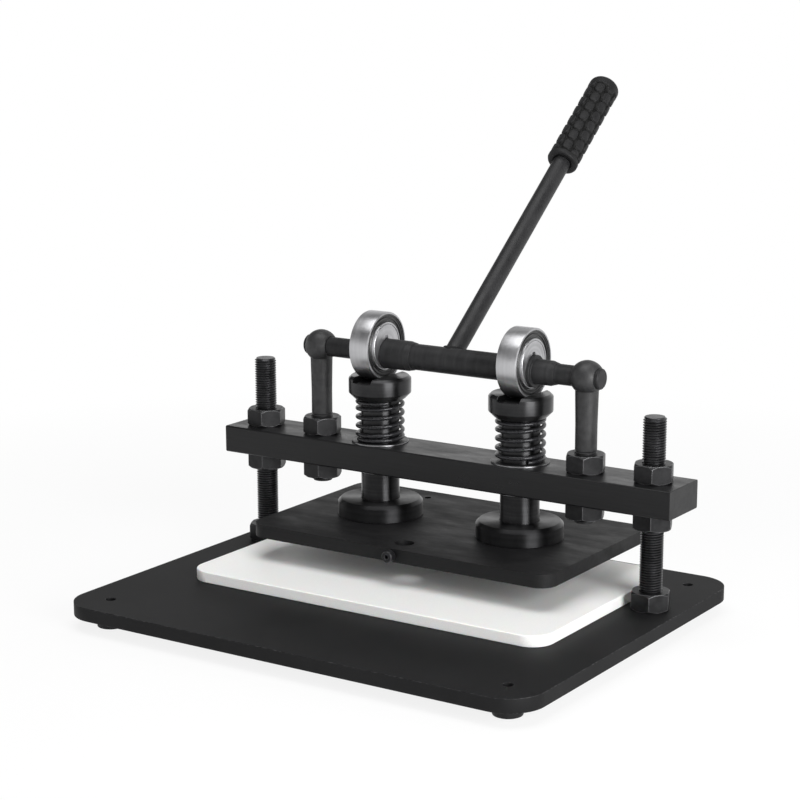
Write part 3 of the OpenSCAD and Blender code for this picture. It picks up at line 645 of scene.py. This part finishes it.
def spring(start):
    """A round wire wound step by step up its own height, with ground ends."""
    bm = bmesh.new()
    ring = bmesh.ops.create_circle(bm, cap_ends=True, segments=WIRE_SIDES, radius=WIRE_R * MM)
    upright = Matrix.Rotation(math.radians(start), 4, "Z") @ \
        Matrix.Translation((SPRING_R * MM, 0, SPRING_LOW * MM)) @ \
        Matrix.Rotation(math.radians(90), 4, "X")
    bmesh.ops.transform(bm, matrix=upright, verts=ring["verts"])
    geom = bm.faces[:]
    steps = int(SPRING_TURNS * SPRING_STEPS)
    for i in range(steps):
        rise = spring_height((i + 1) / SPRING_STEPS) - spring_height(i / SPRING_STEPS)
        made = bmesh.ops.spin(bm, geom=geom, cent=(0, 0, 0), axis=(0, 0, 1),
                              dvec=(0, 0, rise * MM), angle=2 * math.pi / SPRING_STEPS,
                              steps=1, use_merge=False)
        geom = [g for g in made["geom_last"] if isinstance(g, bmesh.types.BMFace)]
    cut_flat(bm, BUSH_TOP + SPRING_SEAT, True)
    cut_flat(bm, CAP_Z - SPRING_SEAT, False)
    return bm


for side, sign in SIDES:
    x = sign * POST_X
    piece(f"bush_{side}", placed(bush(), x, COLUMN_Y, 0), "beam", BUSH, f"guide_bush_{side}")
    wound = placed(spring(SPRING_STARTS[side]), x, COLUMN_Y, 0)
    coil = piece(f"coil_{side}", wound, "beam", WIRE, f"spring_{side}", sharp=40)
    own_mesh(coil)

# ---------------------------------------------------------------- press: posts, caps, plate

POST_R = 17.5
POST_CHAMFER = 0.6
# the post's upper end fits the cap's bore
NECK_R = 11
NECK_TOP = CAP_Z + 12


def post():
    """A plain bar with a thinner neck for its cap."""
    return turned([(0, POST_Z), (POST_R - POST_CHAMFER, POST_Z), (POST_R, POST_Z + POST_CHAMFER),
                   (POST_R, CAP_Z), (NECK_R, CAP_Z), (NECK_R, NECK_TOP), (0, NECK_TOP)])


def flange():
    """A thick round flange with a broad chamfer, standing on the plate."""
    line = [(17.5, 0), (38.5, 0), (39, 0.5), (39, 12.7), (38.7, 13.3), (36.2, 15.8), (35.5, 16),
            (18.1, 16), (17.5, 15.4), (17.5, 0)]
    return turned([(r, PLATE_TOP + z) for r, z in line])


for side, sign in SIDES:
    x = sign * POST_X
    piece(f"post_{side}_bar", placed(post(), x, COLUMN_Y, 0), "press", POST, f"post_{side}")
    dressed(f"cap_{side}", f"post_cap_{side}", 0.5, "press", CAP, angle=30)
    piece(f"flange_{side}", placed(flange(), x, COLUMN_Y, 0), "press", FLANGE,
          f"post_flange_{side}")

dressed("plate", "press_plate", 0.5, "press", PLATE, angle=40)
dressed("screws_flange", "flange_screws", 0.15, "press", SCREW, segments=1,
        angle=50)
# The clamp screw's head is CLAMP_GAP before the plate's front and travels as far as that. Its
# underside is moved out a hair, so that the two faces don't meet there.
CLAMP_GAP = 1.0
SEAT_AIR = 0.08
clamp = cad_copy("clamp_screw")
front = min(v.co.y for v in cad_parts["press_plate"].data.vertices) / MM
seat = [v for v in clamp.verts if abs(v.co.y / MM - front + CLAMP_GAP) < SEAT_AIR]
bmesh.ops.translate(clamp, verts=seat, vec=(0, -SEAT_AIR * MM, 0))
piece("screw_clamp", soften(clamp, 0.2, angle=40), "clamp", SCREW, "clamp_screw")

# ---------------------------------------------------------------- cam shaft and bearings

# half the lengths of the shaft's thick middle and of the whole shaft, whose ends are journals
THICK_HALF = 86.5
SHAFT_HALF = 153.6
SHAFT_R = 11.75
JOURNAL_R = 9.0
JOURNAL_CHAMFER = 0.9
THICK_CHAMFER = 0.4
LEFT_COLLAR_X = -66.5

shaft = turned([(0, -SHAFT_HALF), (JOURNAL_R - JOURNAL_CHAMFER, -SHAFT_HALF),
                (JOURNAL_R, -SHAFT_HALF + JOURNAL_CHAMFER), (JOURNAL_R, -THICK_HALF),
                (SHAFT_R - THICK_CHAMFER, -THICK_HALF), (SHAFT_R, -THICK_HALF + THICK_CHAMFER),
                (SHAFT_R, THICK_HALF - THICK_CHAMFER), (SHAFT_R - THICK_CHAMFER, THICK_HALF),
                (JOURNAL_R, THICK_HALF), (JOURNAL_R, SHAFT_HALF - JOURNAL_CHAMFER),
                (JOURNAL_R - JOURNAL_CHAMFER, SHAFT_HALF), (0, SHAFT_HALF)])
piece("shaft_bar", placed(shaft, 0, COLUMN_Y, SHAFT_Z, ALONG_X), "shaft", SHAFT, "cam_shaft")
left_collar = turned([(SHAFT_R, 0), (13.1, 0), (13.5, 0.4), (13.5, 25.6), (13.2, 26.3),
                      (12.4, 30.7), (SHAFT_R, 31), (SHAFT_R, 0)])
piece("sleeve_left", placed(left_collar, LEFT_COLLAR_X, COLUMN_Y, SHAFT_Z, ALONG_X), "shaft",
      SHAFT, "collar_left")
right_collar = turned([(JOURNAL_R, 0), (13.8, 0), (14.25, 0.5), (14.25, 2.5), (13.8, 3),
                       (11.4, 3), (11, 3.5), (11, 18.6), (10.7, 19.4), (9.5, 23.8),
                       (JOURNAL_R, 24), (JOURNAL_R, 0)])
piece("sleeve_right", placed(right_collar, THICK_HALF, COLUMN_Y, SHAFT_Z, ALONG_X), "shaft",
      SHAFT, "collar_right")

# each seal's outer face, from the bearing's middle
SEAL_FACE = 9.2


def seal(sign):
    """A moulded seal: a groove and two soft ridges between its outer bead and inner lip."""
    line = [(22.2, -0.8), (22.5, -0.6), (23.1, -0.5), (23.6, -0.7), (23.9, -1.0), (24.9, -1.0),
            (25.2, -0.3), (25.5, 0), (26.0, 0), (26.3, -0.3), (26.6, -0.9), (27.6, -0.9),
            (27.9, -0.4), (28.3, -0.2), (29.0, -0.2), (29.0, -1.4), (22.2, -1.4), (22.2, -0.8)]
    return turned([(r, sign * (SEAL_FACE + z)) for r, z in line])


def inner_ring():
    """A bearing's inner ring, with the shallow groove that its balls run in."""
    return turned([(20, -9.3), (20.5, -9.9), (20.8, -10), (21.4, -10), (21.75, -9.85),
                   (22, -9.4), (22, -3.2), (21.55, -2.0), (21.35, 0), (21.55, 2.0), (22, 3.2),
                   (22, 9.4), (21.75, 9.85), (21.4, 10), (20.8, 10), (20.5, 9.9), (20, 9.3),
                   (20, -9.3)])


def outer_ring():
    """A bearing's outer ring, grooved inside for its balls."""
    return turned([(29, -9.7), (29.3, -10), (30.1, -10), (30.7, -9.75), (31, -9.1), (31, 9.1),
                   (30.7, 9.75), (30.1, 10), (29.3, 10), (29, 9.7), (29, 3.2), (29.45, 2.0),
                   (29.65, 0), (29.45, -2.0), (29, -3.2), (29, -9.7)])


# how far each key's outer end lies under the face of its cam
KEY_SUNK = {"left": 1.4, "right": 3.0}

for side, sign in SIDES:
    at_cam = (sign * CAM_X, COLUMN_Y, CAM_Z, ALONG_X)
    dressed(f"cam_{side}_disc", f"cam_{side}", 0.25, "shaft", CAM, angle=40)
    key = soften(cad_copy(f"cam_key_{side}"), 0.5, angle=40)
    ends = [v for v in key.verts if v.co.x > sign * CAM_X * MM]
    bmesh.ops.translate(key, verts=ends, vec=(-KEY_SUNK[side] * MM, 0, 0))
    piece(f"key_{side}", key, "shaft", KEY, f"cam_key_{side}")
    piece(f"race_inner_{side}", placed(inner_ring(), *at_cam), "shaft", RACE,
          f"inner_ring_{side}", sharp=30)
    piece(f"race_outer_{side}", placed(outer_ring(), *at_cam), f"roller_{side}", RACE,
          f"outer_ring_{side}", sharp=30)
    piece(f"seals_{side}", placed(joined(seal(-1), seal(1)), *at_cam), f"roller_{side}", SEAL,
          f"bearing_seals_{side}", sharp=30)
    for node, surface in ((f"bearing_balls_{side}", BALL), (f"ball_cage_{side}", BRASS)):
        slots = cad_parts[node].data.materials
        slots.clear()
        slots.append(surface)

# ---------------------------------------------------------------- lever

LEVER_R = 8.5
LEVER_LEAN = Matrix.Rotation(math.radians(-51.5), 4, "X")
AT_LEVER = (0, COLUMN_Y, SHAFT_Z, LEVER_LEAN)

# a thinner spigot sits in the shaft, and the far end's edge is broken
lever = turned([(0, -8), (5.5, -8), (5.5, 9.4), (LEVER_R, 9.4), (LEVER_R, 354.6), (8.1, 355),
                (0, 355)])
piece("lever_bar", placed(lever, *AT_LEVER), "shaft", ROD, "lever_rod")

BEAD_R = 1.55
BEAD_STEPS = 144
BEAD_SIDES = 12
# the bead's middle lies this far outside the rod and above the shaft
BEAD_LIFT = 0.35
# the weld's scales, how far each swells, and the unevenness of the whole ring
BEAD_RIPPLES = 26
BEAD_SWELL = 0.16
BEAD_WAVES = 5
BEAD_UNEVEN = 0.05


def weld():
    """A weld bead laid round the rod's foot: a ring of wire that follows the shaft's round,
    with the overlapping scales of its passes."""
    middle = LEVER_R + BEAD_LIFT
    bm = bmesh.new()
    ring = bmesh.ops.create_circle(bm, cap_ends=False, segments=BEAD_SIDES, radius=BEAD_R * MM)
    upright = Matrix.Translation((middle * MM, 0, 0)) @ Matrix.Rotation(math.radians(90), 4, "X")
    bmesh.ops.transform(bm, matrix=upright, verts=ring["verts"])
    bmesh.ops.spin(bm, geom=bm.verts[:] + bm.edges[:], cent=(0, 0, 0), axis=(0, 0, 1),
                   dvec=(0, 0, 0), angle=2 * math.pi, steps=BEAD_STEPS, use_merge=True)
    for vert in bm.verts:
        angle = math.atan2(vert.co.y, vert.co.x)
        scale = (angle / (2 * math.pi) * BEAD_RIPPLES) % 1.0
        swell = 1 + BEAD_SWELL * math.sin(math.pi * scale) - \
            BEAD_UNEVEN * math.sin(BEAD_WAVES * angle)
        reach = math.hypot(vert.co.x, vert.co.y) / MM
        out = middle + (reach - middle) * swell
        up = vert.co.z / MM * swell
        across = out * math.sin(angle)
        saddle = math.sqrt(max(SHAFT_R ** 2 - across ** 2, 0)) + BEAD_LIFT
        vert.co = Vector((out * math.cos(angle), across, saddle + up)) * MM
    return bm


piece("weld_bead", placed(weld(), *AT_LEVER), "shaft", COAT, "lever_weld",
      sharp=50)

# where the grip starts on the rod, its outer radius and its length
GRIP_FOOT = 254.0
GRIP_R = 14.99
GRIP_L = 109.0
GRIP_BORE = LEVER_R + 0.05
BORE_DEPTH = 101
END_ROUND = 6
GRIP_STEPS = 200
GRIP_ROWS = 216
FIRST_ROW = 1.6
PADS_ROUND = 8
PAD_LENGTH = 13.2
PAD_CORNER = 4.0
PAD_CROWN = 0.35
GROOVE_W = 2.1
GROOVE_DEPTH = 1.3
CUFF = 6.0
TOP_PLAIN = 98.0
# where the relief eases in or out: over a groove's wall, along the grip for the pads, and for
# the ring that is cut round the cuff
GROOVE_WALL = (-0.7, 0.6)
PADS_IN = (CUFF - 0.2, CUFF + 0.9)
PADS_OUT = (TOP_PLAIN - 0.6, TOP_PLAIN + 0.6)
RING_IN = (CUFF - 1.4, CUFF - 0.4)
RING_OUT = (CUFF + 0.2, CUFF + 1.2)


def eased(value, low, high):
    """Runs smoothly from 0 at low to 1 at high."""
    t = min(max((value - low) / (high - low), 0.0), 1.0)
    return t * t * (3 - 2 * t)


def grip_relief(angle, z):
    """How far the moulded pattern lies under the grip's outer round: rounded pads in
    staggered columns, parted by grooves, between a plain cuff and a plain end."""
    pad_w = 2 * math.pi * GRIP_R / PADS_ROUND
    u = (angle / (2 * math.pi)) * PADS_ROUND
    column = math.floor(u)
    v = (z - CUFF) / PAD_LENGTH + 0.5 * (column % 2)
    across = (u - column - 0.5) * pad_w
    along = (v - math.floor(v) - 0.5) * PAD_LENGTH
    qx = abs(across) - (pad_w - GROOVE_W) / 2 + PAD_CORNER
    qy = abs(along) - (PAD_LENGTH - GROOVE_W) / 2 + PAD_CORNER
    edge = math.hypot(max(qx, 0), max(qy, 0)) + min(max(qx, qy), 0) - PAD_CORNER
    groove = eased(edge, *GROOVE_WALL) * GROOVE_DEPTH
    crown = ((2 * across / pad_w) ** 2 + (2 * along / PAD_LENGTH) ** 2) * PAD_CROWN
    inside = eased(z, *PADS_IN) * (1 - eased(z, *PADS_OUT))
    ring = eased(z, *RING_IN) * (1 - eased(z, *RING_OUT))
    return max((groove + crown) * inside, ring * GROOVE_DEPTH)


def grip():
    """The grip is turned as a fine grid and its wall is then pressed in by the pattern."""
    wall = GRIP_L - (FIRST_ROW + END_ROUND)
    rows = [(GRIP_R, FIRST_ROW + wall * i / GRIP_ROWS) for i in range(GRIP_ROWS + 1)]
    angles = [math.radians(a) for a in range(10, 91, 10)]
    round_end = [(GRIP_R - END_ROUND + END_ROUND * math.cos(a),
                  GRIP_L - END_ROUND + END_ROUND * math.sin(a)) for a in angles]
    bm = turned([(GRIP_BORE, BORE_DEPTH), (GRIP_BORE, 1.2), (LEVER_R + 1.2, 0),
                 (GRIP_R - 2.2, 0), (GRIP_R - 0.6, 0.35)] + rows + round_end +
                [(0, GRIP_L), (0, BORE_DEPTH), (GRIP_BORE, BORE_DEPTH)], GRIP_STEPS)
    groove = bm.verts.layers.float.new(GROOVE)
    for vert in bm.verts:
        reach = math.hypot(vert.co.x, vert.co.y) / MM
        z = vert.co.z / MM
        if reach > GRIP_R - 0.01 and z < GRIP_L - END_ROUND + 0.1:
            depth = grip_relief(math.atan2(vert.co.y, vert.co.x), z)
            # kept for the rubber's painted shade in the grooves
            vert[groove] = eased(depth, PAD_CROWN, GROOVE_DEPTH)
            share = (reach - depth) / reach
            vert.co.x *= share
            vert.co.y *= share
    return placed(bm, 0, 0, GRIP_FOOT)


piece("grip", placed(grip(), *AT_LEVER), "shaft", GRIP, "lever_grip", sharp=60)

# ---------------------------------------------------------------- camera, lamps and floor

# the camera's place in metres, its angles in degrees and its lens in millimetres
CAMERA_PLACE = (0.9768, -1.4731, 0.5711)
CAMERA_YAW = 33.49
CAMERA_PITCH = 13.39
CAMERA_ROLL = -0.15
CAMERA_LENS = 94.63
CAMERA_SHIFT = (-0.0049, 0.0647)
# the lamps look at this place, in metres
AIM = Vector((0, 0.04, 0.12))


def studio_camera():
    """The camera looks along its yaw and pitch and is then rolled about that line."""
    yaw, pitch, roll = (math.radians(a) for a in (CAMERA_YAW, CAMERA_PITCH, CAMERA_ROLL))
    ahead = Vector((-math.sin(yaw) * math.cos(pitch), math.cos(yaw) * math.cos(pitch),
                    -math.sin(pitch)))
    level = Vector((math.cos(yaw), math.sin(yaw), 0))
    right = math.cos(roll) * level + math.sin(roll) * level.cross(ahead)
    up = right.cross(ahead)
    lens = bpy.data.cameras.new("camera")
    lens.lens = CAMERA_LENS
    lens.shift_x, lens.shift_y = CAMERA_SHIFT
    camera = bpy.data.objects.new("camera", lens)
    turn = Matrix((right, up, -ahead)).transposed().to_4x4()
    camera.matrix_world = Matrix.Translation(CAMERA_PLACE) @ turn
    bpy.context.scene.collection.objects.link(camera)
    bpy.context.scene.camera = camera


def softbox(name, azimuth, height, distance, size, watts):
    """A rectangular light: azimuth runs from the machine's front (-Y) towards its right (+X)."""
    a, h = math.radians(azimuth), math.radians(height)
    way = Vector((math.sin(a) * math.cos(h), -math.cos(a) * math.cos(h), math.sin(h)))
    data = bpy.data.lights.new(name, "AREA")
    data.shape = "RECTANGLE"
    data.size, data.size_y = size
    data.energy = watts
    lamp = bpy.data.objects.new(name, data)
    lamp.matrix_world = Matrix.Translation(AIM + way * distance) @ \
        way.to_track_quat("Z", "Y").to_matrix().to_4x4()
    bpy.context.scene.collection.objects.link(lamp)


# the studio's brightness above the machine's front
ROOM_DARK = 0.12
# how far a direction points backwards, and how far up, while the studio goes from dark to
# white or from white to dark
BEHIND = {1: 0.35, 2: 0.8}
SKIRT = {1: 0.1, 2: 0.4}


def studio_world():
    """The studio is white behind the machine and along its foot, and dark above its front."""
    world = bpy.data.worlds.new("studio")
    world.use_nodes = True
    sky = world.node_tree
    sky.nodes.clear()
    way = add(sky, "ShaderNodeTexCoord").outputs["Generated"]
    _, back, up = add(sky, "ShaderNodeSeparateXYZ", {0: way}).outputs
    behind = add(sky, "ShaderNodeMapRange", {0: back, **BEHIND, 3: 0.0, 4: 1.0})
    skirt = add(sky, "ShaderNodeMapRange", {0: up, **SKIRT, 3: 1.0, 4: ROOM_DARK})
    bright = add(sky, "ShaderNodeMath", {0: behind, 1: skirt}, operation="MAXIMUM")
    sheet = add(sky, "ShaderNodeBackground", {0: "#ffffff", 1: bright})
    add(sky, "ShaderNodeOutputWorld", {0: sheet})
    bpy.context.scene.world = world


FLOOR_SIZE = 30.0
# how far the object's shadow is kept whole on the floor, in metres
SHADOW_REACH = 0.5
# near the object, the share of plain white in what the camera, metal and glass see of the floor
FLOOR_GLOW = 0.85


def paper():
    """White paper sweep: even and matt. It takes the object's shadow. The camera, and the rays
    that metal and glass send out, see it nearly white by the object and quite white far off."""
    surface, tree = new_surface("white paper sweep")
    rays = add(tree, "ShaderNodeLightPath").outputs
    seen = add(tree, "ShaderNodeMath", {0: rays["Is Camera Ray"], 1: rays["Is Glossy Ray"]})
    any_ray = add(tree, "ShaderNodeMath", {0: seen, 1: rays["Is Transmission Ray"]},
                  use_clamp=True)
    here = add(tree, "ShaderNodeTexCoord").outputs["Object"]
    away = add(tree, "ShaderNodeVectorMath", {0: here}, operation="LENGTH").outputs["Value"]
    wash = add(tree, "ShaderNodeMapRange", {0: away, 1: SHADOW_REACH, 2: 2 * SHADOW_REACH,
                                            3: FLOOR_GLOW, 4: 1.0})
    share = add(tree, "ShaderNodeMath", {0: any_ray, 1: wash}, operation="MULTIPLY")
    matt = add(tree, "ShaderNodeBsdfDiffuse", {"Color": "#f8f8f8"})
    glow = add(tree, "ShaderNodeEmission", {"Color": "#ffffff", "Strength": 1.0})
    mixed = add(tree, "ShaderNodeMixShader", {0: share, 1: matt, 2: glow})
    add(tree, "ShaderNodeOutputMaterial", {"Surface": mixed})
    return surface


def paper_floor():
    """A floor that reaches past what the camera sees."""
    bm = bmesh.new()
    bmesh.ops.create_grid(bm, x_segments=1, y_segments=1, size=FLOOR_SIZE)
    mesh = bpy.data.meshes.new("floor")
    bm.to_mesh(mesh)
    bm.free()
    mesh.materials.append(paper())
    floor = bpy.data.objects.new("floor", mesh)
    bpy.context.scene.collection.objects.link(floor)


studio_camera()
softbox("key softbox", azimuth=66, height=14, distance=1.9, size=(1.0, 1.15), watts=36)
softbox("top softbox", azimuth=10, height=80, distance=1.8, size=(1.6, 1.2), watts=22)
studio_world()
paper_floor()
